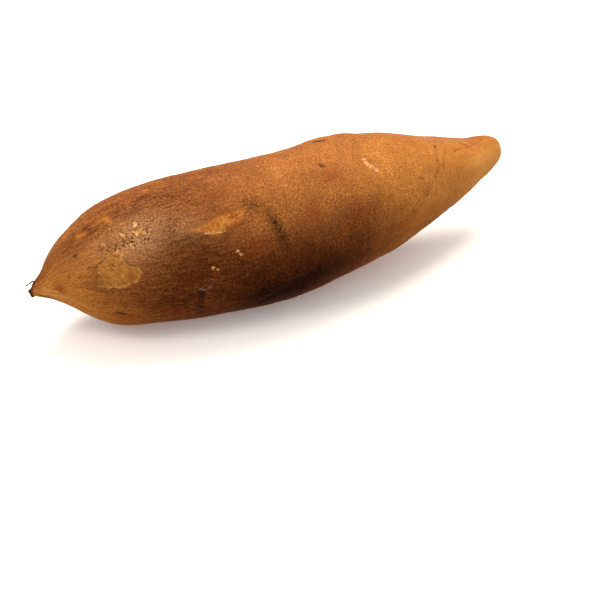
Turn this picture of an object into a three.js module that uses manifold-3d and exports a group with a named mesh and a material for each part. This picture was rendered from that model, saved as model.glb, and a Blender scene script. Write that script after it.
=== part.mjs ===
// A whole yacon storage root lying on its side, in millimetres.
// +X runs from the tail tip to the crown end, +Z is up and the floor is z = 0.
import * as THREE from 'three';
import { mergeVertices } from 'three/addons/utils/BufferGeometryUtils.js';
import Module from 'manifold-3d';

const rootLength = 220;
const bellyRadius = 29.5; // half the thickness at the widest place
const ringCount = 76; // sections along the root
const sideCount = 40; // corners in one section

// Girth stations from the tail to the crown end.
// at: place along the root, -1 to 1. girth: share of bellyRadius.
// sway: sideways bend. under: height of the lowest skin, below 0 where the belly is pressed flat.
const stations = [
  { at: -1.0, girth: 0.055, sway: 1.5, under: 20.2 },
  { at: -0.975, girth: 0.12, sway: 1.4, under: 18.7 },
  { at: -0.925, girth: 0.26, sway: 1.3, under: 15.4 },
  { at: -0.845, girth: 0.53, sway: 1.1, under: 8.7 },
  { at: -0.72, girth: 0.81, sway: -0.6, under: 1.5 },
  { at: -0.555, girth: 0.93, sway: -3.4, under: -0.6 },
  { at: -0.355, girth: 0.985, sway: -7.2, under: -1.1 },
  { at: -0.11, girth: 1.0, sway: -9.5, under: -1.1 },
  { at: 0.145, girth: 0.955, sway: -7.0, under: 0.6 },
  { at: 0.38, girth: 0.87, sway: -3.6, under: 3.6 },
  { at: 0.58, girth: 0.67, sway: -1.4, under: 9.0 },
  { at: 0.745, girth: 0.495, sway: 1.2, under: 14.0 },
  { at: 0.87, girth: 0.35, sway: 3.8, under: 18.6 },
  { at: 0.95, girth: 0.27, sway: 5.9, under: 21.4 },
  { at: 0.988, girth: 0.215, sway: 7.0, under: 23.6 },
  { at: 1.0, girth: 0.165, sway: 7.5, under: 25.2 },
];

// Slow lobes of the section: folds around the root, depth as a share of the radius,
// quarter turns of drift from tail to crown and the angle where the first crest starts.
const lobes = [
  { folds: 2, depth: 0.014, drift: 1.1, start: 0.6 },
  { folds: 3, depth: 0.011, drift: 2.3, start: 2.1 },
  { folds: 5, depth: 0.005, drift: -1.7, start: 0.3 },
];

// Soft waists where growth slowed: place along the root, half width and depth.
const waists = [
  { at: -0.63, reach: 5, depth: 0.3 },
  { at: 0.23, reach: 7, depth: 0.25 },
  { at: 0.66, reach: 4, depth: 0.35 },
  { at: 0.84, reach: 3, depth: 0.35 },
];

// Broad swellings: place along the root, turn around it from +Y towards +Z, reach along it,
// spread around it and height.
const swellings = [
  { at: 0.19, turn: 1.13, reach: 14, spread: 0.55, height: 1.8 },
  { at: -0.2, turn: -2.2, reach: 24, spread: 0.5, height: 1.1 },
  { at: -0.72, turn: -2.0, reach: 10, spread: 0.6, height: 0.8 },
];

const scarDepth = 0.9; // dish in the crown end, where the root broke off the plant
const scarShare = 0.7; // radius of the dish floor, as a share of the end section
const slabDepth = 10; // thickness of the cutter that flattens the belly
const skinColour = 0xb0682f;
const skinRoughness = 0.6;

function stationCentre(station) {
  const radius = station.girth * bellyRadius;
  return new THREE.Vector3(station.at * rootLength / 2, station.sway, station.under + radius);
}

const centreLine = new THREE.CatmullRomCurve3(stations.map(stationCentre), false, 'catmullrom');
const girthLine = new THREE.CatmullRomCurve3(
  stations.map((station) => new THREE.Vector3(station.girth * bellyRadius, 0, 0)),
  false,
  'catmullrom',
);

// A smooth bump, 1 at 0 and fading out past 1.
function bell(distance) {
  return Math.exp(-(distance ** 2));
}

function skinRadius(t, angle) {
  const radius = girthLine.getPoint(t).x;
  const x = centreLine.getPoint(t).x;
  let share = 1;
  for (const lobe of lobes) {
    const turn = lobe.start + lobe.drift * t * Math.PI / 2;
    share += lobe.depth * Math.cos(lobe.folds * angle + turn);
  }
  let relief = 0;
  for (const { at, reach, depth } of waists) {
    relief -= depth * bell((x - at * rootLength / 2) / reach);
  }
  for (const { at, turn, reach, spread, height } of swellings) {
    const around = Math.atan2(Math.sin(angle - turn), Math.cos(angle - turn));
    relief += height * bell((x - at * rootLength / 2) / reach) * bell(around / spread);
  }
  return radius * share + relief;
}

// One section square to the centre line, counted anticlockwise seen from the crown end.
function addRing(positions, t) {
  const centre = centreLine.getPoint(t);
  const ahead = centreLine.getTangent(t);
  const side = new THREE.Vector3(0, 0, 1).cross(ahead).normalize();
  const lift = ahead.clone().cross(side);
  for (let corner = 0; corner < sideCount; corner += 1) {
    const angle = corner / sideCount * Math.PI * 2;
    const reach = skinRadius(t, angle);
    const point = centre.clone()
      .addScaledVector(side, reach * Math.cos(angle))
      .addScaledVector(lift, reach * Math.sin(angle));
    positions.push(point.x, point.y, point.z);
  }
}

// The last section drawn inwards and back along the root, as the floor of the scar.
function addScarFloor(positions) {
  const centre = centreLine.getPoint(1);
  const ahead = centreLine.getTangent(1);
  const rim = positions.slice(-3 * sideCount);
  for (let corner = 0; corner < sideCount; corner += 1) {
    const point = new THREE.Vector3().fromArray(rim, 3 * corner);
    point.lerp(centre, 1 - scarShare).addScaledVector(ahead, -scarDepth);
    positions.push(point.x, point.y, point.z);
  }
  centre.addScaledVector(ahead, -scarDepth);
  positions.push(centre.x, centre.y, centre.z);
}

// The closed skin: rings from tail to crown, a point at the tail and the scar at the crown.
function loftSkin() {
  const positions = [];
  const triangles = [];
  for (let ring = 0; ring <= ringCount; ring += 1) {
    addRing(positions, ring / ringCount);
  }
  addScarFloor(positions);
  const scarCentre = positions.length / 3 - 1;
  const tail = centreLine.getPoint(0);
  const tailPoint = scarCentre + 1;
  positions.push(tail.x, tail.y, tail.z);

  const bandCount = ringCount + 1; // the last band is the wall of the scar
  const lastRing = bandCount * sideCount;
  for (let corner = 0; corner < sideCount; corner += 1) {
    const next = (corner + 1) % sideCount;
    for (let band = 0; band < bandCount; band += 1) {
      const near = band * sideCount;
      const far = near + sideCount;
      triangles.push(near + corner, near + next, far + next);
      triangles.push(near + corner, far + next, far + corner);
    }
    triangles.push(tailPoint, next, corner);
    triangles.push(scarCentre, lastRing + corner, lastRing + next);
  }

  const skin = new THREE.BufferGeometry();
  skin.setAttribute('position', new THREE.Float32BufferAttribute(positions, 3));
  skin.setIndex(triangles);
  return skin;
}

const wasm = await Module();
wasm.setup();

function toSolid(geometry) {
  geometry.deleteAttribute('normal');
  geometry.deleteAttribute('uv');
  const merged = mergeVertices(geometry);
  return new wasm.Manifold(new wasm.Mesh({
    numProp: 3,
    vertProperties: new Float32Array(merged.attributes.position.array),
    triVerts: new Uint32Array(merged.index.array),
  }));
}

function toGeometry(solid) {
  const mesh = solid.getMesh();
  const geometry = new THREE.BufferGeometry();
  geometry.setAttribute('position', new THREE.BufferAttribute(mesh.vertProperties, 3));
  geometry.setIndex(new THREE.BufferAttribute(mesh.triVerts, 1));
  geometry.computeVertexNormals();
  return geometry;
}

// The belly is cut level at the floor, so the root rests on a long flat instead of rolling.
function pressBelly(skin) {
  const slab = new THREE.BoxGeometry(2 * rootLength, 4 * bellyRadius, slabDepth);
  slab.translate(0, 0, -slabDepth / 2);
  return toGeometry(toSolid(skin).subtract(toSolid(slab)));
}

const rootGeometry = pressBelly(loftSkin());
const rootMaterial = new THREE.MeshStandardMaterial({
  color: skinColour,
  roughness: skinRoughness,
  metalness: 0,
});

const root = new THREE.Mesh(rootGeometry, rootMaterial);
root.name = 'yacon_root';

// The frame stands at the middle of the root's own box, on the floor.
rootGeometry.computeBoundingBox();
const middle = rootGeometry.boundingBox.getCenter(new THREE.Vector3());
root.position.set(-middle.x, -middle.y, 0);

const yacon = new THREE.Group();
yacon.add(root);

export default yacon;
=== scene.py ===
import math
import bpy
import numpy as np
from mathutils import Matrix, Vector, noise
from mathutils.bvhtree import BVHTree


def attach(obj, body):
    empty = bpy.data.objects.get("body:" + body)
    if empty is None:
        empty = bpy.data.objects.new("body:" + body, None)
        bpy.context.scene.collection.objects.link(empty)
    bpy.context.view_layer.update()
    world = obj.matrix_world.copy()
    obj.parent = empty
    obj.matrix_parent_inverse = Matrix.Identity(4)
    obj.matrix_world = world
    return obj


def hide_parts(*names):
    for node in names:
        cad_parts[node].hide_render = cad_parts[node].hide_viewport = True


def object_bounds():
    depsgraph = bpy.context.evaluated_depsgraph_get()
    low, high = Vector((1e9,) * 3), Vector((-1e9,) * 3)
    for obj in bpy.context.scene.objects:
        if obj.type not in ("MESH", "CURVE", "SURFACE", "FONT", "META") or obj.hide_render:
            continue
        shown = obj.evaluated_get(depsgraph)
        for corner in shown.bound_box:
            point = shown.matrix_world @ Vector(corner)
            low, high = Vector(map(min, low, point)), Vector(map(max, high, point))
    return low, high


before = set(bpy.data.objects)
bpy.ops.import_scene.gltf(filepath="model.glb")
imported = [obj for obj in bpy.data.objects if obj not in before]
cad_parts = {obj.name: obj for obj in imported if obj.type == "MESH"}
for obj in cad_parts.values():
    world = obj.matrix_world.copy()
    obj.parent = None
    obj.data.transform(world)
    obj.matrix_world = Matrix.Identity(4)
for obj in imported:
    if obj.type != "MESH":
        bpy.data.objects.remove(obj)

mm = 0.001
cadLow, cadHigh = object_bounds()


def linear(hexColour):
    # sRGB hex to the linear values a shader socket wants
    channels = [int(hexColour[i:i + 2], 16) / 255 for i in (1, 3, 5)]
    bright = [c / 12.92 if c <= 0.04045 else ((c + 0.055) / 1.055) ** 2.4 for c in channels]
    return (*bright, 1.0)


def addNode(tree, kind, settings=None, inputs=None):
    # settings go on the node itself, each input takes a plain value or another node's socket
    node = tree.nodes.new(kind)
    for name, value in (settings or {}).items():
        setattr(node, name, value)
    for socket, value in (inputs or {}).items():
        if isinstance(value, bpy.types.NodeSocket):
            tree.links.new(value, node.inputs[socket])
        else:
            node.inputs[socket].default_value = value
    return node


def selectOnly(piece):
    bpy.ops.object.select_all(action="DESELECT")
    piece.select_set(True)
    bpy.context.view_layer.objects.active = piece


def applyModifier(piece, kind, **settings):
    modifier = piece.modifiers.new(kind.lower(), kind)
    for name, value in settings.items():
        setattr(modifier, name, value)
    selectOnly(piece)
    bpy.ops.object.modifier_apply(modifier=modifier.name)


def fadeIn(values, start, end):
    # 0 at start, 1 at end, eased at both
    share = np.clip((values - start) / (end - start), 0, 1)
    return share * share * (3 - 2 * share)


# angles in degrees, the rest in metres except the lens and sensor
view = dict(azimuth=-30, elevation=30, distance=0.581, lens=85, sensor=36, aim=(-0.0037, -0.0095, -0.0035))


def addCamera():
    turn = math.radians(view["azimuth"])
    tilt = math.radians(view["elevation"])
    back = Vector((math.sin(turn) * math.cos(tilt), -math.cos(turn) * math.cos(tilt), math.sin(tilt)))
    bpy.ops.object.camera_add(location=Vector(view["aim"]) + back * view["distance"])
    camera = bpy.context.object
    camera.rotation_euler = back.to_track_quat("Z", "Y").to_euler()
    camera.data.lens = view["lens"]
    camera.data.sensor_width = view["sensor"]
    bpy.context.scene.camera = camera


studio = dict(
    floorSize=6.0, floorColour="#f8f6f3", floorGlow=0.14,
    skyColour="#fffcf7", groundColour="#b89c80", skyStrength=0.95,
    key=dict(place=(0.55, 0.6, 1.2), size=1.0, energy=30, colour="#fff4e6"),
    sheen=dict(place=(-0.65, -0.1, 0.75), size=0.35, energy=3, colour="#fff1ea"),
)


def addSoftbox(name, place, size, energy, colour):
    bpy.ops.object.light_add(type="AREA", location=place)
    lamp = bpy.context.object
    lamp.name = name
    lamp.data.size = size
    lamp.data.energy = energy
    lamp.data.color = linear(colour)[:3]
    lamp.rotation_euler = Vector(place).to_track_quat("Z", "Y").to_euler()


def addStudio():
    bpy.ops.mesh.primitive_plane_add(size=studio["floorSize"])
    floor = bpy.context.object
    floor.name = "floor"
    paper = bpy.data.materials.new("matte paper floor")   # flat and pale, it only takes the shadow
    paper.use_nodes = True
    surface = paper.node_tree.nodes["Principled BSDF"]
    surface.inputs["Base Color"].default_value = linear(studio["floorColour"])
    surface.inputs["Roughness"].default_value = 0.9
    surface.inputs["Specular IOR Level"].default_value = 0.1
    surface.inputs["Emission Color"].default_value = linear(studio["floorColour"])
    surface.inputs["Emission Strength"].default_value = studio["floorGlow"]   # keeps the shadow short
    floor.data.materials.append(paper)
    floor.visible_diffuse = False   # the sky's lower half gives the light from below instead

    sky = bpy.data.worlds.new("pale studio")
    sky.use_nodes = True
    tree = sky.node_tree
    direction = addNode(tree, "ShaderNodeTexCoord").outputs["Generated"]
    upwards = addNode(tree, "ShaderNodeSeparateXYZ", None, {"Vector": direction}).outputs["Z"]
    risen = addNode(tree, "ShaderNodeMapRange", None, {"Value": upwards, "From Min": -0.25, "From Max": 0.25})
    shade = addNode(tree, "ShaderNodeMix", {"data_type": "RGBA"}, {
        0: risen.outputs["Result"],
        6: linear(studio["groundColour"]),
        7: linear(studio["skyColour"]),
    })
    background = tree.nodes["Background"]
    tree.links.new(shade.outputs[2], background.inputs["Color"])
    background.inputs["Strength"].default_value = studio["skyStrength"]
    bpy.context.scene.world = sky
    bpy.context.scene.view_settings.view_transform = "Standard"
    addSoftbox("keySoftbox", **studio["key"])
    addSoftbox("sheenSoftbox", **studio["sheen"])


# the body is a ring drawn out along the root, then shrunk onto the CAD solid
rootBody = dict(
    sides=32, rings=39, sliceHalf=2.6 * mm, tailInset=1.2 * mm, crownInset=0.8 * mm,
    endCrowding=0.35, skinLift=0.2 * mm, smoothLevels=3,
)


def cadCopy():
    # the CAD node's loose triangles, merged in a copy of its own
    node = bpy.data.objects["yacon_root"]
    copy = bpy.data.objects.new("cadCopy", node.data.copy())
    bpy.context.collection.objects.link(copy)
    selectOnly(copy)
    bpy.ops.object.mode_set(mode="EDIT")
    bpy.ops.mesh.select_all(action="SELECT")
    bpy.ops.mesh.remove_doubles(threshold=0.001 * mm)
    bpy.ops.object.mode_set(mode="OBJECT")
    return copy


def meshPoints(piece):
    flat = np.empty(len(piece.data.vertices) * 3, dtype=np.float32)
    piece.data.vertices.foreach_get("co", flat)
    return flat.reshape(-1, 3).astype(float)


def meshNormals(piece):
    flat = np.empty(len(piece.data.vertices) * 3, dtype=np.float32)
    piece.data.vertices.foreach_get("normal", flat)
    return flat.reshape(-1, 3).astype(float)


def sliceAt(points, x):
    # middle and mean radius of the CAD solid near one place along the root
    near = points[np.abs(points[:, 0] - x) < rootBody["sliceHalf"]]
    low = near.min(axis=0)
    high = near.max(axis=0)
    radius = (high[1] - low[1] + high[2] - low[2]) / 4
    return Vector((x, (low[1] + high[1]) / 2, (low[2] + high[2]) / 2)), radius


def rootPath(copy):
    # middles and radii from the tail to the crown, closer together at both ends
    points = meshPoints(copy)
    start = cadLow.x + rootBody["tailInset"]
    end = cadHigh.x - rootBody["crownInset"]
    path = []
    for i in range(rootBody["rings"]):
        t = i / (rootBody["rings"] - 1)
        crowded = (1 - math.cos(math.pi * t)) / 2
        share = t + (crowded - t) * rootBody["endCrowding"]
        path.append(sliceAt(points, start + (end - start) * share))
    return path


def headingOf(path, i):
    before = path[max(i - 1, 0)][0]
    after = path[min(i + 1, len(path) - 1)][0]
    return (after - before).normalized()


def drawOut(name, path, sides):
    # a filled ring at the first place, extruded, swung and scaled to each next one
    bpy.ops.object.select_all(action="DESELECT")
    first = headingOf(path, 0)
    bpy.ops.mesh.primitive_circle_add(
        vertices=sides, radius=path[0][1], fill_type="TRIFAN", location=path[0][0],
        rotation=first.to_track_quat("Z", "Y").to_euler(),
    )
    piece = bpy.context.object
    piece.name = name
    bpy.ops.object.transform_apply(location=True, rotation=True, scale=True)
    bpy.ops.object.mode_set(mode="EDIT")
    bpy.ops.mesh.select_all(action="SELECT")
    for i in range(1, len(path)):
        place, radius = path[i]
        bpy.ops.mesh.extrude_region_move(TRANSFORM_OT_translate={"value": place - path[i - 1][0]})
        bpy.ops.transform.resize(value=(radius / path[i - 1][1],) * 3, center_override=place)
        before = headingOf(path, i - 1)
        after = headingOf(path, i)
        yaw = math.atan2(after.y, after.x) - math.atan2(before.y, before.x)
        pitch = math.asin(after.z) - math.asin(before.z)
        bpy.ops.transform.rotate(value=-yaw, orient_axis="Z", center_override=place)
        bpy.ops.transform.rotate(value=pitch, orient_axis="Y", center_override=place)
    bpy.ops.mesh.select_all(action="SELECT")
    bpy.ops.mesh.normals_make_consistent(inside=False)
    return piece


def pickFaces(piece, wanted):
    # selects the faces that answer true, by their middle and normal, and nothing else
    bpy.ops.mesh.select_mode(type="FACE")
    bpy.ops.mesh.select_all(action="DESELECT")
    bpy.ops.object.mode_set(mode="OBJECT")
    for face in piece.data.polygons:
        face.select = wanted(face.center, face.normal)
    bpy.ops.object.mode_set(mode="EDIT")


crownScar = dict(
    reach=3.5 * mm, facing=0.85, paintedFrom=100 * mm, lip=0.5 * mm, lipRise=0.4 * mm, wall=0.7 * mm,
    wallSink=0.8 * mm, floor=1.3 * mm, floorSink=0.25 * mm, raggedness=0.35 * mm,
)


def shapeCrownScar(body, heading):
    # the broken end: a raised lip, a torn wall and a shallow dished floor
    edge = cadHigh.x - crownScar["reach"]
    pickFaces(body, lambda middle, normal: middle.x > edge and normal.dot(heading) > crownScar["facing"])
    bpy.ops.mesh.inset(thickness=crownScar["lip"], depth=crownScar["lipRise"])
    bpy.ops.mesh.inset(thickness=crownScar["wall"], depth=-crownScar["wallSink"])
    bpy.ops.mesh.inset(thickness=crownScar["floor"], depth=-crownScar["floorSink"])
    bpy.ops.transform.vertex_random(offset=crownScar["raggedness"], seed=5)


tailStub = dict(
    reach=2.6 * mm, facing=0.85, darkFrom=-110.2 * mm, neck=0.6 * mm, narrowing=0.72,
    length=1.3 * mm, swell=0.95, rimIn=0.35 * mm, hollow=0.5 * mm,
    drop=(0.0, -0.1 * mm, -0.2 * mm), raggedness=0.22 * mm,
)


def shapeTailStub(body, heading):
    # the dry hollow stub where the thin end of the root snapped off, hanging a little low
    edge = cadLow.x + tailStub["reach"]
    pickFaces(body, lambda middle, normal: middle.x < edge and normal.dot(heading) < -tailStub["facing"])
    bpy.ops.mesh.extrude_region_move(TRANSFORM_OT_translate={"value": -heading * tailStub["neck"]})
    bpy.ops.transform.resize(value=(tailStub["narrowing"],) * 3)
    push = -heading * tailStub["length"] + Vector(tailStub["drop"])
    bpy.ops.mesh.extrude_region_move(TRANSFORM_OT_translate={"value": push})
    bpy.ops.transform.resize(value=(tailStub["swell"],) * 3)
    bpy.ops.transform.vertex_random(offset=tailStub["raggedness"], seed=11)
    bpy.ops.mesh.inset(thickness=tailStub["rimIn"], depth=-tailStub["hollow"])


def buildBody(copy, path):
    body = drawOut("yaconRoot", path, rootBody["sides"])
    bpy.ops.object.mode_set(mode="OBJECT")
    applyModifier(
        body, "SHRINKWRAP", target=copy, wrap_method="NEAREST_SURFACEPOINT", offset=rootBody["skinLift"],
    )
    selectOnly(body)
    bpy.ops.object.mode_set(mode="EDIT")
    shapeCrownScar(body, headingOf(path, len(path) - 1))
    shapeTailStub(body, headingOf(path, 0))
    bpy.ops.object.mode_set(mode="OBJECT")
    levels = rootBody["smoothLevels"]
    applyModifier(body, "SUBSURF", levels=levels, render_levels=levels)
    return body


def middleAt(path, x):
    # middle of the root at one or many places along it
    along = [place.x for place, radius in path]
    return [np.interp(x, along, [place[axis] for place, radius in path]) for axis in (1, 2)]


skinCylinder = 26.0      # mm, the radius that unrolled skin places are given on
outside = 100 * mm       # well clear of the skin, where a ray towards it starts
spotReach = 30.0         # mm, nothing further from a spot belongs to it
sameSide = 0.2           # least agreement of a normal with the spot's own
noMark = 5.0             # mm, the edge distance stored where no mark is near


def skinTurns(points, path):
    # turn of each point around the root in degrees: 0 at the back, 90 on top, 180 at the front
    middleY, middleZ = middleAt(path, points[:, 0])
    return np.degrees(np.arctan2(points[:, 2] - middleZ, points[:, 1] - middleY)) % 360


def unrolled(points, path):
    turns = np.radians(skinTurns(points, path))
    return np.stack([points[:, 0] / mm, skinCylinder * np.cos(turns), skinCylinder * np.sin(turns)], axis=1)


def skinSpot(tree, path, at, turn):
    # the point of the skin at a place along the root and a turn around it, with its own axes
    middleY, middleZ = middleAt(path, at * mm)
    outward = Vector((0, math.cos(math.radians(turn)), math.sin(math.radians(turn))))
    start = Vector((at * mm, middleY, middleZ)) + outward * outside
    hit, normal = tree.ray_cast(start, -outward)[:2]
    lengthways = Vector((1, 0, 0)) - normal * normal.x
    lengthways.normalize()
    return hit, normal, lengthways, normal.cross(lengthways)


def flatOn(points, normals, spot):
    # millimetres along and across from a spot, and which points lie on its side of the root
    hit, normal, lengthways, across = (np.array(part) for part in spot)
    away = (points - hit) / mm
    near = (np.linalg.norm(away, axis=1) < spotReach) & (normals @ normal > sameSide)
    return away @ lengthways, away @ across, near


def edgeDistance(along, across, outline):
    # millimetres from each point to a closed outline, negative inside it
    nearest = np.full(len(along), np.inf)
    inside = np.zeros(len(along), dtype=bool)
    for (x0, y0), (x1, y1) in zip(outline, outline[1:] + outline[:1]):
        dx = x1 - x0
        dy = y1 - y0
        share = np.clip(((along - x0) * dx + (across - y0) * dy) / (dx * dx + dy * dy), 0, 1)
        nearest = np.minimum(nearest, np.hypot(along - x0 - share * dx, across - y0 - share * dy))
        if dy != 0:
            crosses = (y0 > across) != (y1 > across)
            inside ^= crosses & (along < x0 + (across - y0) * dx / dy)
    return np.where(inside, -nearest, nearest)


# at is mm along the root from its middle, turn is degrees around it, and each outline
# is in mm from that spot: first along the root, then across it towards the top
marks = dict(
    peeled=[
        dict(at=-84.5, turn=157, outline=[
            (-2, 7.5), (-0.5, 5.5), (2.5, 4.5), (4.5, 1), (6.5, 0.5), (8.5, 0), (8.5, -3), (6.5, -5.5),
            (0.5, -7), (-5, -6), (-9.5, -5), (-8.5, -2), (-7, -0.5), (-8, 1.5), (-6.5, 3.5), (-4, 4.5),
        ]),
    ],
    chipped=[
        dict(at=-73.5, turn=128, outline=[
            (-3, 2), (-1, 1.5), (1, 1), (3, -0.5), (2.5, -2), (0.5, -1.5), (-1, -1.5), (-2, 0.5),
        ]),
        dict(at=-73.5, turn=120, outline=[(-1, 1.5), (1, 0.5), (0.5, -1), (-0.5, -1.5), (-1, 0)]),
        dict(at=-79, turn=126.5, outline=[(-0.5, 2), (0.5, 1), (1, -1.5), (0, -2), (-1, -0.5)]),
        dict(at=-77.5, turn=137, outline=[(-0.5, 1.5), (0.5, 1), (0.5, -1.5), (-0.5, -1)]),
    ],
    scraped=[
        dict(at=-45.5, turn=138, outline=[
            (-12, 0), (-9, 1), (-5, 1), (-2, 2), (4, 3.5), (7.5, 2.5), (10.5, 3.5), (12, 2),
            (9, -1.5), (3, -2), (1, -3.5), (-2, -4), (-5.5, -2.5), (-8, -1),
        ]),
        dict(at=-83, turn=105, outline=[
            (-4, 2.5), (-1, 3), (2, 3), (3.5, 1.5), (3, -3), (2, -1.5), (1.5, 0.5), (-0.5, 1.5), (-3, 1.5),
        ]),
        dict(at=-90.5, turn=100, outline=[(-2.5, 1.5), (1, 1.5), (2.5, -0.5), (1.5, -1.5), (-2.5, -0.5)]),
    ],
)

# soft spots: mm along the root, degrees around it, half length, half width, spin in degrees, strength
spots = dict(
    stainedAndShaded=[
        (-25.5, 139, 3, 3, 20, 0.5), (-24.2, 145.5, 3, 3, 0, 0.66), (-23.8, 152, 2.6, 3.4, 0, 0.7),
        (-22.8, 160, 2.6, 3, 0, 0.7), (-21.5, 167, 2.6, 2.6, 0, 0.5), (-30, 132, 6, 5, 0, 0.4),
        (-25, 150, 6, 9, 0, 0.3), (-55.5, 193, 2, 4, 0, 0.65), (-55, 207, 2.2, 3.4, 0, 0.65),
        (-54, 217, 2, 2, 0, 0.7), (-21.5, 208, 7, 1.3, 42, 0.8), (-16, 204, 6, 1.1, 36, 0.7),
        (-25, 214, 6, 1.1, 40, 0.8), (13.5, 80, 2.8, 1, -25, 1), (5.6, 113, 2, 1, -45, 0.9),
        (41, 105, 1.2, 0.5, -50, 0.7), (52, 163, 5, 3, 30, 0.3), (-66, 193, 2, 0.5, 10, 0.6),
        (-62, 197, 1.6, 0.4, 0, 0.6), (67, 110, 0.5, 1.4, 12, 0.8), (63, 133, 0.6, 0.6, 0, 0.8),
        (74, 100, 0.7, 0.6, 0, 0.6), (66, 192, 0.7, 0.8, 0, 0.8), (44, 130, 0.6, 0.5, 0, 0.6),
        (50, 149, 0.9, 0.6, 0, 0.7), (38, 151, 0.5, 0.5, 0, 0.6), (2, 139, 0.5, 0.4, 0, 0.6),
        (-95.3, 125, 0.9, 0.9, 0, 0.7), (-99, 157, 0.8, 0.6, 0, 0.7), (-84, 208, 2.5, 0.7, 0, 0.9),
        (-85, 150, 0.4, 0.4, 0, 0.9), (45, 176, 6, 3, 30, 0.3), (30, 158, 5, 2, 20, 0.25),
        # the dark line at -106.5 along and 224 around is painted shade under the tail's frayed fringe
        (-106.5, 224, 4, 0.6, -5, 0.9), (-94, 172, 1.2, 0.3, 0, 0.5), (-20, 30, 3, 1, 30, 0.7),
        (22, 48, 1, 1, 0, 0.7), (60, 20, 2, 0.8, -20, 0.6), (-70, 52, 4, 0.8, 5, 0.6),
        (-48, 330, 6, 1.5, -10, 0.7), (35, 300, 3, 1, 15, 0.7), (80, 340, 1.5, 1, 0, 0.6),
        (-92, 20, 1, 1, 0, 0.6),
    ],
    rusty=[
        (-102, 185, 2.5, 3, 60, 0.9), (-66, 205, 4, 1.8, 8, 0.7), (-61, 214, 4, 1.6, 8, 0.8),
        (-43, 210, 5, 1.6, 0, 0.6), (-80, 212, 6, 2, 0, 0.6), (-73, 200, 4, 1.5, 10, 0.5),
        (86, 113, 5, 0.8, -28, 0.8), (92, 107, 4, 0.8, -30, 0.8), (80, 121, 3, 0.7, -20, 0.6),
        (97, 150, 6, 2, 0, 0.3), (-50, 174, 3, 2.2, 0, 0.5), (-95, 112, 4, 1, -8, 0.5),
        (5, 168, 7, 4, 10, 0.4), (-32, 162, 14, 5, 8, 0.45), (-8, 148, 12, 6, 5, 0.4),
        (14, 160, 12, 5, 8, 0.45), (-62, 176, 9, 4, 5, 0.45), (36, 184, 12, 5, 10, 0.4),
        (0, 100, 14, 6, 0, 0.35), (-40, 112, 14, 5, 5, 0.35), (60, 125, 9, 4, 0, 0.3),
        (7, 124, 7, 3, 20, 0.5), (-60, 20, 8, 3, 10, 0.5), (10, 350, 9, 3, -5, 0.5),
        (75, 40, 6, 2, 0, 0.4), (-15, 260, 10, 5, 0, 0.5),
    ],
    # pinkish grey: a painted sheen on the upper front of the tail half, and a pale dusty bloom in the other
    # spots
    paintedSheenAndBloom=[
        (-74, 133, 12, 8, 8, 1), (-84, 125, 11, 4, 12, 0.5), (-58, 137, 9, 5, 0, 0.5),
        (-104, 212, 3, 2, 0, 0.4), (70, 85, 25, 5, 0, 0.3), (-30, 15, 20, 8, 0, 0.5),
    ],
    flecked=[
        (25.2, 116, 0.9, 0.8, 0, 1.1), (25.3, 121, 1.2, 1.2, 0, 1.2), (26.7, 125.4, 1.2, 1.2, 0, 1.2),
        (28.3, 129.8, 1.2, 1, 0, 1.2), (-41, 162, 0.8, 0.8, 0, 1.1), (-39.5, 165.5, 0.7, 0.9, 30, 1.1),
        (-51, 171, 0.9, 0.8, -20, 1.1), (-49, 173.5, 0.9, 0.6, -40, 1), (15, 25, 1, 1, 0, 1),
        (17, 29, 0.8, 1, 0, 1),
    ],
    frayed=[
        (-106, 187, 2.4, 0.8, -8, 0.9), (-103, 197, 2.6, 0.9, -8, 0.9), (-99, 208, 3, 0.8, -8, 0.7),
        (-86, 128, 2.4, 1.6, 10, 0.6), (-82, 146, 2, 1.5, 30, 0.6), (-70, 121, 3, 1.5, 0, 0.55),
        (-49, 144.5, 3, 0.7, 0, 0.9), (-45.5, 145.5, 2.5, 0.6, 8, 0.9), (-83, 141, 1.4, 1.6, 0, 0.6),
    ],
    bruised=[
        (25.4, 121.2, 0.6, 0.7, 0, 1), (26.8, 125.6, 0.6, 0.7, 0, 1), (28.4, 129.9, 0.6, 0.5, 0, 1),
        (-50.6, 172.6, 0.5, 0.4, 0, 1), (-38.6, 135.5, 2, 1.2, 20, 0.9), (-40.5, 129.5, 4.5, 1, 16, 0.7),
        (-39.5, 141, 3, 0.8, 30, 0.7), (-73.8, 129.5, 0.8, 0.5, 0, 0.8),
    ],
    dulled=[
        (-78.5, 167, 4, 3.5, 0, 0.7), (-91, 167, 4, 4, 0, 1.1), (-38, 135, 3, 2, 0, 0.4),
    ],
    greyed=[
        (-56, 187, 1, 0.7, 30, 1.2), (-54.5, 189, 0.9, 0.6, -20, 1.2), (-52.5, 187, 1.1, 0.7, 10, 1.2),
        (-27, 211, 2, 0.4, 40, 0.7), (-19, 214, 2.2, 0.4, 35, 0.6),
    ],
    pitted=[
        (-86, 132, 2.6, 1.4, 0, 1.4), (-82.8, 136, 2.4, 1.6, -20, 1.3), (-80, 133.5, 3, 1.8, 0, 1.1),
        (-76, 133, 4, 3, 0, 1), (-70, 125, 3, 4, 0, 0.9), (-72, 137, 6, 2.4, 0, 0.8),
        (-85.5, 152, 0.9, 0.7, 0, 1.6),
    ],
)

# thin folds as lines over the skin: mm along the root and degrees around it
creaseHalfWidth = 0.8    # mm
creases = [
    [(67, 111), (64, 126), (63, 140), (58, 152)],
    [(72, 119), (67, 135), (65, 146)],
    [(76, 125), (80, 121), (85, 117), (89, 109), (94, 105)],
    [(85, 121), (88, 117), (93, 114), (99, 104)],
    [(-27, 218), (-22, 208), (-16, 199)],
    [(-21, 213), (-16, 204), (-10, 197)],
    [(-31, 222), (-26, 214), (-20, 206)],
    [(40, 20), (43, 40), (42, 62)],
    [(84, 5), (86, 25), (83, 45)],
    [(100, 240), (90, 232), (78, 236)],
]

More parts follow.
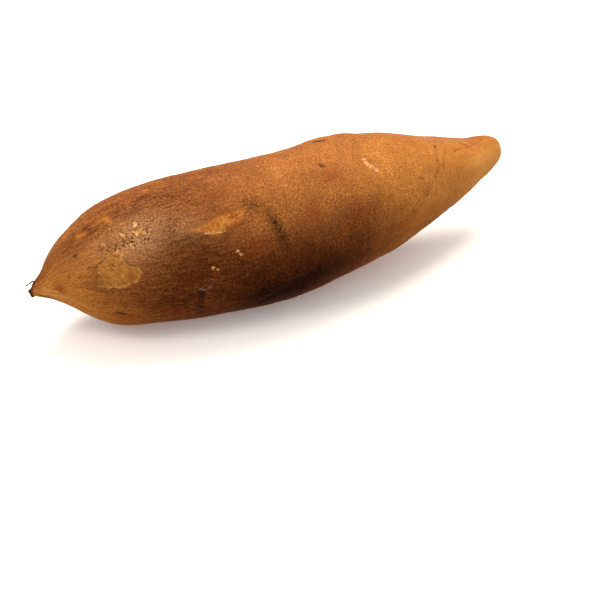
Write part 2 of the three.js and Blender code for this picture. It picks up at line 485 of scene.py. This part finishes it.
# slow rises and falls of the skin, as soft spots like those above, with their height or depth in mm
shoulders = [
    (18, 77, 9, 13, 0, 1.1), (27, 79, 8, 12, 0, 1.2), (104, 105, 6, 6, 0, 0.6), (-60, 85, 30, 14, 0, 0.4),
]
hollows = [(-106.5, 84, 5, 7, 0, 1.0)]

# painted light and shade, with a few of the skin's own mottles among it: lighter undersides at both raised
# ends, a darker lower front and darker top edges; mm along the root, degrees around it, reach along, reach
# around, lighter or darker
paintedLightAndShade = [
    (-18, 207, 42, 42, -0.36), (0, 202, 38, 30, -0.18), (-75, 104, 30, 12, -0.12),
    (-64, 80, 16, 12, 0.05), (-108, 205, 18, 65, 0.4), (-94, 240, 24, 40, 0.3), (105, 205, 26, 70, 0.44),
    (80, 84, 42, 22, -0.24), (-62, 97, 24, 32, -0.07), (-58, 141, 10, 12, -0.12), (50, 178, 22, 26, 0.08),
    (12, 172, 14, 26, -0.1), (-68, 185, 14, 32, -0.1), (96, 122, 18, 20, -0.07), (-25, 80, 26, 16, -0.1),
    (-36, 152, 10, 12, 0.08), (-103, 140, 10, 30, 0.08), (-68, 138, 8, 12, -0.07),
    (-88, 132, 7, 12, 0.08), (14, 158, 10, 10, -0.1), (35, 157, 10, 10, 0.07), (4, 128, 9, 9, -0.09),
    (-4, 116, 9, 7, -0.06), (-62, 170, 14, 14, -0.03), (-44, 165, 16, 22, -0.07), (64, 168, 16, 20, 0.06),
    (20, 80, 20, 24, -0.07), (110, 235, 18, 80, 0.14), (-82, 143, 9, 9, 0.1),
]


def markEdges(points, normals, tree, path, outlines):
    # distance to the nearest outline of one kind, in mm, negative inside
    edges = np.full(len(points), noMark)
    for mark in outlines:
        along, across, near = flatOn(points, normals, skinSpot(tree, path, mark["at"], mark["turn"]))
        found = edgeDistance(along[near], across[near], mark["outline"])
        edges[near] = np.minimum(edges[near], found)
    return edges


def spotWeights(points, normals, tree, path, places):
    weights = np.zeros(len(points))
    for at, turn, longHalf, wideHalf, spin, strength in places:
        along, across, near = flatOn(points, normals, skinSpot(tree, path, at, turn))
        c = math.cos(math.radians(spin))
        s = math.sin(math.radians(spin))
        reach = ((along * c + across * s) / longHalf) ** 2 + ((across * c - along * s) / wideHalf) ** 2
        weights = np.where(near, np.maximum(weights, strength * np.exp(-reach)), weights)
    return weights


def creaseWeights(points, path):
    # 1 on each crease, gone at about twice its half width
    along = points[:, 0] / mm
    around = np.radians(skinTurns(points, path)) * skinCylinder
    weights = np.zeros(len(points))
    for line in creases:
        for (x0, turn0), (x1, turn1) in zip(line, line[1:]):
            y0 = math.radians(turn0) * skinCylinder
            dx = x1 - x0
            dy = math.radians(turn1) * skinCylinder - y0
            share = np.clip(((along - x0) * dx + (around - y0) * dy) / (dx * dx + dy * dy), 0, 1)
            away = np.hypot(along - x0 - share * dx, around - y0 - share * dy)
            weights = np.maximum(weights, np.exp(-(away / creaseHalfWidth) ** 2))
    return weights


def paintedLightAndShadeWeights(points, path):
    # sums the painted light and shade at each point of the skin
    along = points[:, 0] / mm
    turns = skinTurns(points, path)
    total = np.zeros(len(points))
    for at, turn, longReach, turnReach, strength in paintedLightAndShade:
        swing = (turns - turn + 180) % 360 - 180
        total += strength * np.exp(-((along - at) / longReach) ** 2 - (swing / turnReach) ** 2)
    return total


def storeOnSkin(piece, name, values):
    kind = "FLOAT" if values.ndim == 1 else "FLOAT_VECTOR"
    layer = piece.data.attributes.new(name, kind, "POINT")
    flat = np.ascontiguousarray(values, dtype=np.float32).ravel()
    layer.data.foreach_set("value" if values.ndim == 1 else "vector", flat)


faintest = 0.002         # weaker places aren't worth moving


def pressIn(piece, name, weights, height):
    # moves the skin along its normals by height, in mm, where the weights say so
    group = piece.vertex_groups.new(name=name)
    for i in np.flatnonzero(weights > faintest):
        group.add([int(i)], float(weights[i]), "REPLACE")
    applyModifier(piece, "DISPLACE", strength=height * mm, mid_level=0.0, vertex_group=name)
    piece.vertex_groups.remove(piece.vertex_groups[name])


def roughen(piece, name, grainSize, height):
    # an even cloud of lumps of one size, both ways from the skin
    clouds = bpy.data.textures.new(name, "CLOUDS")
    clouds.noise_scale = grainSize * mm
    clouds.noise_depth = 2
    applyModifier(
        piece, "DISPLACE", texture=clouds, texture_coords="LOCAL", strength=height * mm, mid_level=0.5,
    )


def grainWeights(places, acrossSize, alongSize, seed):
    # stretched noise on the unrolled skin, from 0 to 1
    drawn = (Vector((x / alongSize + seed, y / acrossSize, z / acrossSize)) for x, y, z in places)
    return np.array([0.5 + 0.5 * noise.noise(place) for place in drawn])


# all in mm: lumps by size and height, ridges by size across and along, walls by where they start
# outside an outline and end inside it, and how far each thing is raised or, with a minus, pressed in
skinRelief = dict(
    lumps=[("slow lumps", 24, 0.5), ("small dents", 7, 0.35), ("orange peel", 2.2, 0.1)],
    furrowSize=(2.2, 14), furrows=-0.22, wrinkleSize=(11, 1.8), wrinkles=-0.2, creases=-0.2,
    lipAt=0.45, lipWidth=0.5, peeledLip=0.16, peeledWall=(-0.25, 0.5), peeledFloor=-0.5,
    chipWall=(-0.2, 0.4), chipFloor=-0.4, scrapeWall=(-0.3, 0.6), scrapeFloor=-0.3,
    stainDip=-0.25, fleckDip=-0.2, pitSize=0.9, pitDip=-0.5,
)


def giveRelief(body, path):
    for name, size, height in skinRelief["lumps"]:
        roughen(body, name, size, height)
    points = meshPoints(body)
    normals = meshNormals(body)
    tree = BVHTree.FromObject(body, bpy.context.evaluated_depsgraph_get())
    places = unrolled(points, path)
    towardTail = fadeIn(-places[:, 0], 20, 70)

    edges = {kind: markEdges(points, normals, tree, path, outlines) for kind, outlines in marks.items()}
    soft = {kind: spotWeights(points, normals, tree, path, found) for kind, found in spots.items()}
    creased = creaseWeights(points, path)
    raised = spotWeights(points, normals, tree, path, shoulders)
    sunken = spotWeights(points, normals, tree, path, hollows)
    for kind, values in edges.items():
        storeOnSkin(body, kind + "Edge", values)
    for kind, values in soft.items():
        storeOnSkin(body, kind, values)
    storeOnSkin(body, "creased", creased)
    # the painted light and shade goes on the skin as its shade
    storeOnSkin(body, "shade", paintedLightAndShadeWeights(points, path))
    storeOnSkin(body, "skinPlace", places)
    storeOnSkin(body, "stubEdge", (points[:, 0] - tailStub["darkFrom"]) / mm)
    heading = headingOf(path, len(path) - 1)
    storeOnSkin(body, "scarFacing", (normals @ np.array(heading)) * (points[:, 0] > crownScar["paintedFrom"]))

    furrows = grainWeights(places, *skinRelief["furrowSize"], seed=3.7)
    pressIn(body, "furrows", furrows * towardTail, skinRelief["furrows"])
    wrinkles = grainWeights(places, *skinRelief["wrinkleSize"], seed=41.3)
    pressIn(body, "wrinkles", wrinkles * (1 - towardTail), skinRelief["wrinkles"])
    pressIn(body, "creases", creased, skinRelief["creases"])
    pressIn(body, "shoulders", raised / raised.max(), raised.max())
    pressIn(body, "hollows", sunken / sunken.max(), -sunken.max())
    lip = np.exp(-((edges["peeled"] - skinRelief["lipAt"]) / skinRelief["lipWidth"]) ** 2)
    pits = soft["pitted"] * grainWeights(places, skinRelief["pitSize"], skinRelief["pitSize"], seed=8.1)
    pressed = dict(
        peeledLip=lip,
        peeledFloor=fadeIn(-edges["peeled"], *skinRelief["peeledWall"]),
        chipFloor=fadeIn(-edges["chipped"], *skinRelief["chipWall"]),
        scrapeFloor=fadeIn(-edges["scraped"], *skinRelief["scrapeWall"]),
        stainDip=soft["stainedAndShaded"],
        fleckDip=soft["flecked"],
        pitDip=pits,
    )
    for name, weights in pressed.items():
        pressIn(body, name, weights, skinRelief[name])


bellyGap = 0.02 * mm     # between the skin's lowest point and the surface below it


def settleBelly(body):
    # nothing sinks through the surface that the root lies on
    points = meshPoints(body)
    points[:, 2] = np.maximum(points[:, 2], bellyGap)
    body.data.vertices.foreach_set("co", points.astype(np.float32).ravel())
    body.data.update()


# thin dry rootlets left at the tail, each from a spot of the skin through points in mm from it
rootlets = [
    dict(at=-109, turn=105, radius=0.42, points=[
        (0.4, 0.2, -0.6), (0.1, 0.3, 0.2), (-0.2, 0.8, 1.2),
        (-0.9, 0.9, 0.9), (-1.7, 1.1, 0.3), (-3.3, 1.4, -0.6),
    ]),
]


def addRootlet(name, tree, path, shape):
    # one point drawn out through the rootlet's places, then given its thickness
    places = [skinSpot(tree, path, shape["at"], shape["turn"])[0] + Vector(p) * mm for p in shape["points"]]
    bpy.ops.object.select_all(action="DESELECT")
    bpy.ops.mesh.primitive_circle_add(vertices=3, radius=0.1 * mm, location=places[0])
    thread = bpy.context.object
    thread.name = name
    bpy.ops.object.transform_apply(location=True, rotation=True, scale=True)
    bpy.ops.object.mode_set(mode="EDIT")
    bpy.ops.mesh.select_mode(type="VERT")
    bpy.ops.mesh.select_all(action="SELECT")
    bpy.ops.mesh.merge(type="CENTER")
    for before, after in zip(places, places[1:]):
        bpy.ops.mesh.extrude_region_move(TRANSFORM_OT_translate={"value": after - before})
    bpy.ops.object.mode_set(mode="OBJECT")
    flesh = thread.modifiers.new("flesh", "SKIN")
    for i, point in enumerate(thread.data.skin_vertices[0].data):
        thickness = shape["radius"] * mm * (1 - 0.5 * i / len(places))
        point.radius = (thickness, thickness)
    selectOnly(thread)
    bpy.ops.object.modifier_apply(modifier=flesh.name)
    applyModifier(thread, "SUBSURF", levels=2, render_levels=2)
    bpy.ops.object.shade_smooth()
    thread.data.materials.append(rootletMaterial())
    return thread


# colours of the dry skin, of the layers that show where it is rubbed or broken, and of the painted sheen and
# shadow
skinColours = dict(
    darkSoil="#1e0b04", brown="#582e13", cork="#8a5329", orange="#b27334", pale="#da9850",
    sheenAndBloom="#bb8a5e", rust="#84380f", stainAndShadow="#2a160c", flesh="#dfa676", grey="#84695f",
    peeledTan="#ba823d", peeledStreak="#8c4a1b", peeledRim="#c8975a", chip="#cfa26a", chipDeep="#a8743a",
    scrape="#c1833c", scrapeRed="#94521f", frayed="#dca265", stub="#1a0c07",
    scarRim="#4a2a16", scar="#b48a56",
)

# noises on the unrolled skin: size in mm, how far it is drawn out lengthways and around, detail
skinNoises = dict(
    mottle=dict(size=13, stretch=(0.7, 1, 1), detail=2.5),
    grain=dict(size=0.6, stretch=(0.8, 1, 1), detail=1.5),     # real grain is about 0.3 mm, too fine to show
    furrows=dict(size=0.75, stretch=(0.15, 1, 1), detail=3),
    wrinkles=dict(size=1.1, stretch=(1, 0.16, 0.16), detail=3),
    wander=dict(size=1.3, stretch=(1, 1, 1), detail=3),
)

# tone runs from soil dark at 0 to dry orange at 1, and each noise swings it by its amount
skinLook = dict(
    tailTone=0.46, crownTone=0.69, creaseTone=-0.12,
    swings=dict(mottle=0.3, grain=0.76, furrows=0.7, wrinkles=0.24),
    pitSpacing=0.85, poreSpacing=3.4, streakTilt=-60, streaksPerMm=1.3,
    bumpStrength=0.45, bumpHeight=0.25 * mm, gloss=0.012,
)

# layers of two colours, broken into each other where a noise passes from low to high
skinMixes = [
    dict(name="peeledMix", noise="streaks", first="peeledTan", second="peeledStreak", low=0.4, high=0.66),
    dict(name="chipMix", noise="wander", first="chip", second="chipDeep", low=0.4, high=0.6),
    dict(name="scrapeMix", noise="wander", first="scrape", second="scrapeRed", low=0.36, high=0.62),
]

# each coat covers where its value, pushed about by a noise, passes from start to full
skinCoats = [
    # the painted sheen and bloom, laid over the skin's tone
    dict(where="paintedSheenAndBloom", push="grain", rag=3.0, start=0.0, full=1.2, most=0.75, colour="sheenAndBloom"),
    dict(where="rusty", push="wander", rag=2.5, start=0.2, full=0.9, most=0.75, colour="rust"),
    # the stains, with the painted shade line under the tail's fringe
    dict(where="stainedAndShaded", push="wander", rag=2.5, start=0.15, full=0.75, most=0.88, colour="stainAndShadow"),
    dict(where="pores", push="grain", rag=0.6, start=0.3, full=1.0, most=0.45, colour="stainAndShadow"),
    dict(where="greyed", push="grain", rag=0.5, start=0.4, full=0.7, most=0.8, colour="grey"),
    dict(where="scrapedEdge", push="grain", rag=5.0, start=0.4, full=-0.8, most=0.88, colour="scrapeMix"),
    # a painted shadow in a thin dark band just outside the peeled patch
    dict(where="peeledEdge", push="wander", rag=1.6, start=0.5, full=0.2, most=0.45, colour="stainAndShadow"),
    dict(where="peeledEdge", push="wander", rag=2.6, start=0.05, full=-0.15, most=0.65, colour="peeledRim"),
    dict(where="peeledEdge", push="grain", rag=4.0, start=0.0, full=-0.7, most=0.92, colour="peeledMix"),
    dict(where="dulled", push="wander", rag=3.0, start=0.1, full=0.9, most=0.6, colour="cork"),
    dict(where="frayed", push="grain", rag=4.0, start=0.3, full=0.9, most=0.8, colour="frayed"),
    dict(where="pits", push="grain", rag=3.5, start=0.2, full=0.5, most=0.9, colour="stainAndShadow"),
    dict(where="chippedEdge", push="wander", rag=2.2, start=0.6, full=0.25, most=0.5, colour="stainAndShadow"),
    dict(where="chippedEdge", push="wander", rag=2.8, start=0.15, full=-0.25, most=0.95, colour="chipMix"),
    dict(where="flecked", push="grain", rag=3.0, start=0.4, full=0.7, most=0.85, colour="flesh"),
    dict(where="bruised", push="wander", rag=2.5, start=0.25, full=0.8, most=0.75, colour="rust"),
    dict(where="scarFacing", push="wander", rag=0.25, start=0.62, full=0.74, most=0.9, colour="scarRim"),
    dict(where="scarFacing", push="wander", rag=0.25, start=0.9, full=0.97, most=0.85, colour="scar"),
    dict(where="stubEdge", push="wander", rag=3.0, start=0.2, full=-0.3, most=0.95, colour="stub"),
]


def skinMaterial():
    # dry corky skin: matt and earthy, finely grained, furrowed at the tail and folded at the crown, with
    # painted light, shade and sheen in its colour
    material = bpy.data.materials.new("dry corky root skin")
    material.use_nodes = True
    tree = material.node_tree
    surface = tree.nodes["Principled BSDF"]
    paint = {name: linear(colour) for name, colour in skinColours.items()}

    stored = {}
    names = ["shade", "creased", "stubEdge", "scarFacing"] + [kind + "Edge" for kind in marks] + list(spots)
    for name in names:
        stored[name] = addNode(tree, "ShaderNodeAttribute", {"attribute_name": name}).outputs["Fac"]
    place = addNode(tree, "ShaderNodeAttribute", {"attribute_name": "skinPlace"}).outputs["Vector"]
    along = addNode(tree, "ShaderNodeSeparateXYZ", None, {"Vector": place}).outputs["X"]

    noises = {}
    for name, look in skinNoises.items():
        drawn = addNode(tree, "ShaderNodeMapping", None, {"Vector": place, "Scale": look["stretch"]})
        found = addNode(tree, "ShaderNodeTexNoise", None, {
            "Vector": drawn.outputs["Vector"], "Scale": 1 / look["size"],
            "Detail": look["detail"], "Roughness": 0.6,
        })
        noises[name] = found.outputs["Fac"]

    # lengthways furrows belong to the tail half, cross folds to the crown half
    crossways = addNode(tree, "ShaderNodeMapRange", {"interpolation_type": "SMOOTHSTEP"}, {
        "Value": along, "From Min": -70.0, "From Max": 60.0, "To Min": 0.15,
    }).outputs["Result"]
    lengthways = addNode(tree, "ShaderNodeMapRange", {"interpolation_type": "SMOOTHSTEP"}, {
        "Value": along, "From Min": 0.0, "From Max": -85.0, "To Min": 0.12,
    }).outputs["Result"]
    # the grain is patchy, and fades out towards the smooth crown
    evenGrain = addNode(tree, "ShaderNodeMapRange", {"interpolation_type": "SMOOTHSTEP"}, {
        "Value": along, "From Min": 95.0, "From Max": 40.0, "To Min": 0.35,
    }).outputs["Result"]
    patches = addNode(tree, "ShaderNodeMapRange", None, {
        "Value": noises["mottle"], "From Min": 0.35, "From Max": 0.65, "To Min": 0.55, "To Max": 1.2,
    }).outputs["Result"]
    # the grain is weaker where the painted shade darkens the skin
    litGrain = addNode(tree, "ShaderNodeMapRange", None, {
        "Value": stored["shade"], "From Min": -0.45, "From Max": 0.0, "To Min": 0.85,
    }).outputs["Result"]
    patchyGrain = addNode(tree, "ShaderNodeMath", {"operation": "MULTIPLY"}, {0: evenGrain, 1: patches})
    grainier = addNode(tree, "ShaderNodeMath", {"operation": "MULTIPLY"}, {
        0: patchyGrain.outputs[0], 1: litGrain,
    }).outputs[0]

    tone = addNode(tree, "ShaderNodeMapRange", {"interpolation_type": "SMOOTHSTEP"}, {
        "Value": along, "From Min": -70.0, "From Max": 60.0,
        "To Min": skinLook["tailTone"], "To Max": skinLook["crownTone"],
    }).outputs["Result"]
    # the painted light and shade lightens and darkens the tone
    tone = addNode(tree, "ShaderNodeMath", {"operation": "ADD"}, {0: tone, 1: stored["shade"]}).outputs[0]
    shares = dict(mottle=1.0, grain=grainier, furrows=lengthways, wrinkles=crossways)
    for name, amount in skinLook["swings"].items():
        swing = addNode(tree, "ShaderNodeMapRange", None, {
            "Value": noises[name], "To Min": -amount / 2, "To Max": amount / 2,
        })
        tone = addNode(tree, "ShaderNodeMath", {"operation": "MULTIPLY_ADD"}, {
            0: swing.outputs["Result"], 1: shares[name], 2: tone,
        }).outputs[0]
    tone = addNode(tree, "ShaderNodeMath", {"operation": "MULTIPLY_ADD"}, {
        0: stored["creased"], 1: skinLook["creaseTone"], 2: tone,
    }).outputs[0]

    ramp = addNode(tree, "ShaderNodeValToRGB", None, {"Fac": tone})
    stops = ramp.color_ramp.elements
    stops[0].color = paint["darkSoil"]
    stops[1].color = paint["pale"]
    for position, name in ((0.25, "brown"), (0.5, "cork"), (0.75, "orange")):
        stops.new(position).color = paint[name]
    colour = ramp.outputs["Color"]

    # long streaks that run slantwise over the peeled patch
    slanted = addNode(tree, "ShaderNodeMapping", None, {
        "Vector": place, "Rotation": (0, math.radians(skinLook["streakTilt"]), 0),
    })
    drawn = addNode(tree, "ShaderNodeMapping", None, {
        "Vector": slanted.outputs["Vector"], "Scale": (0.13, 1, 1),
    })
    noises["streaks"] = addNode(tree, "ShaderNodeTexNoise", None, {
        "Vector": drawn.outputs["Vector"], "Scale": skinLook["streaksPerMm"],
        "Detail": 4.0, "Roughness": 0.65,
    }).outputs["Fac"]
    for mix in skinMixes:
        share = addNode(tree, "ShaderNodeMapRange", None, {
            "Value": noises[mix["noise"]], "From Min": mix["low"], "From Max": mix["high"],
        })
        paint[mix["name"]] = addNode(tree, "ShaderNodeMix", {"data_type": "RGBA"}, {
            0: share.outputs["Result"], 6: paint[mix["first"]], 7: paint[mix["second"]],
        }).outputs[2]

    # pits are the middles of small cells, and only where the skin is pitted
    cells = addNode(tree, "ShaderNodeTexVoronoi", None, {
        "Vector": place, "Scale": 1 / skinLook["pitSpacing"],
    })
    dots = addNode(tree, "ShaderNodeMapRange", None, {
        "Value": cells.outputs["Distance"], "From Min": 0.5, "From Max": 0.2,
    })
    stored["pits"] = addNode(tree, "ShaderNodeMath", {"operation": "MULTIPLY"}, {
        0: dots.outputs["Result"], 1: stored["pitted"],
    }).outputs[0]
    # pores are scattered all over, much further apart
    wide = addNode(tree, "ShaderNodeTexVoronoi", None, {
        "Vector": place, "Scale": 1 / skinLook["poreSpacing"],
    })
    stored["pores"] = addNode(tree, "ShaderNodeMapRange", None, {
        "Value": wide.outputs["Distance"], "From Min": 0.13, "From Max": 0.07,
    }).outputs["Result"]

    # an outline is pushed in and out, and a soft spot grows and fades
    for coat in skinCoats:
        value = stored[coat["where"]]
        level = addNode(tree, "ShaderNodeMath", {"operation": "SUBTRACT"}, {0: noises[coat["push"]], 1: 0.5})
        push = addNode(tree, "ShaderNodeMath", {"operation": "MULTIPLY"}, {
            0: level.outputs[0], 1: coat["rag"],
        })
        if coat["where"].endswith("Edge"):
            edge = addNode(tree, "ShaderNodeMath", {"operation": "ADD"}, {0: push.outputs[0], 1: value})
        else:
            edge = addNode(tree, "ShaderNodeMath", {"operation": "MULTIPLY_ADD"}, {
                0: push.outputs[0], 1: value, 2: value,
            })
        cover = addNode(tree, "ShaderNodeMapRange", None, {
            "Value": edge.outputs[0], "From Min": coat["start"], "From Max": coat["full"],
            "To Max": coat["most"],
        })
        colour = addNode(tree, "ShaderNodeMix", {"data_type": "RGBA"}, {
            0: cover.outputs["Result"], 6: colour, 7: paint[coat["colour"]],
        }).outputs[2]

    # dust in the grain lightens and darkens every layer alike
    dust = addNode(tree, "ShaderNodeMapRange", None, {
        "Value": noises["grain"], "From Min": 0.3, "From Max": 0.7, "To Min": 0.92, "To Max": 1.08,
    })
    colour = addNode(tree, "ShaderNodeMix", {"data_type": "RGBA", "blend_type": "MULTIPLY"}, {
        0: 1.0, 6: colour, 7: dust.outputs["Result"],
    }).outputs[2]

    height = addNode(tree, "ShaderNodeMath", {"operation": "MULTIPLY"}, {
        0: noises["grain"], 1: litGrain,
    }).outputs[0]
    for name, share in (("furrows", lengthways), ("wrinkles", crossways)):
        height = addNode(tree, "ShaderNodeMath", {"operation": "MULTIPLY_ADD"}, {
            0: noises[name], 1: share, 2: height,
        }).outputs[0]
    bump = addNode(tree, "ShaderNodeBump", None, {
        "Height": height, "Strength": skinLook["bumpStrength"], "Distance": skinLook["bumpHeight"],
    })
    rough = addNode(tree, "ShaderNodeMapRange", None, {
        "Value": noises["grain"], "From Min": 0.3, "From Max": 0.7, "To Min": 0.62, "To Max": 0.48,
    })
    tree.links.new(colour, surface.inputs["Base Color"])
    tree.links.new(bump.outputs["Normal"], surface.inputs["Normal"])
    tree.links.new(rough.outputs["Result"], surface.inputs["Roughness"])
    surface.inputs["Specular IOR Level"].default_value = skinLook["gloss"]    # dust kills nearly all of it
    return material


def rootletMaterial():
    # a dried rootlet: nearly black, with paler lengths where its skin has flaked
    material = bpy.data.materials.new("dried rootlet")
    material.use_nodes = True
    tree = material.node_tree
    surface = tree.nodes["Principled BSDF"]
    place = addNode(tree, "ShaderNodeTexCoord").outputs["Object"]
    flakes = addNode(tree, "ShaderNodeTexNoise", None, {
        "Vector": place, "Scale": 1 / (0.8 * mm), "Detail": 2.0,
    })
    colour = addNode(tree, "ShaderNodeMix", {"data_type": "RGBA"}, {
        0: flakes.outputs["Fac"], 6: linear("#120a06"), 7: linear("#4a2f1c"),
    })
    tree.links.new(colour.outputs[2], surface.inputs["Base Color"])
    surface.inputs["Roughness"].default_value = 0.7
    surface.inputs["Specular IOR Level"].default_value = 0.1
    return material


addCamera()
addStudio()
print("camera, floor and softboxes are in place")

copy = cadCopy()
path = rootPath(copy)
body = buildBody(copy, path)
bpy.data.objects.remove(copy)
print("root body drawn out:", len(body.data.polygons), "faces")

giveRelief(body, path)
settleBelly(body)
body.data.materials.clear()
body.data.materials.append(skinMaterial())
selectOnly(body)
bpy.ops.object.shade_smooth()
print("skin relief and marks pressed in, skin painted")

tree = BVHTree.FromObject(body, bpy.context.evaluated_depsgraph_get())
threads = [addRootlet(f"tailRootlet{i + 1}", tree, path, shape) for i, shape in enumerate(rootlets)]
print("rootlets added:", len(threads))

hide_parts("yacon_root")
for piece in [body] + threads:
    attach(piece, "root")
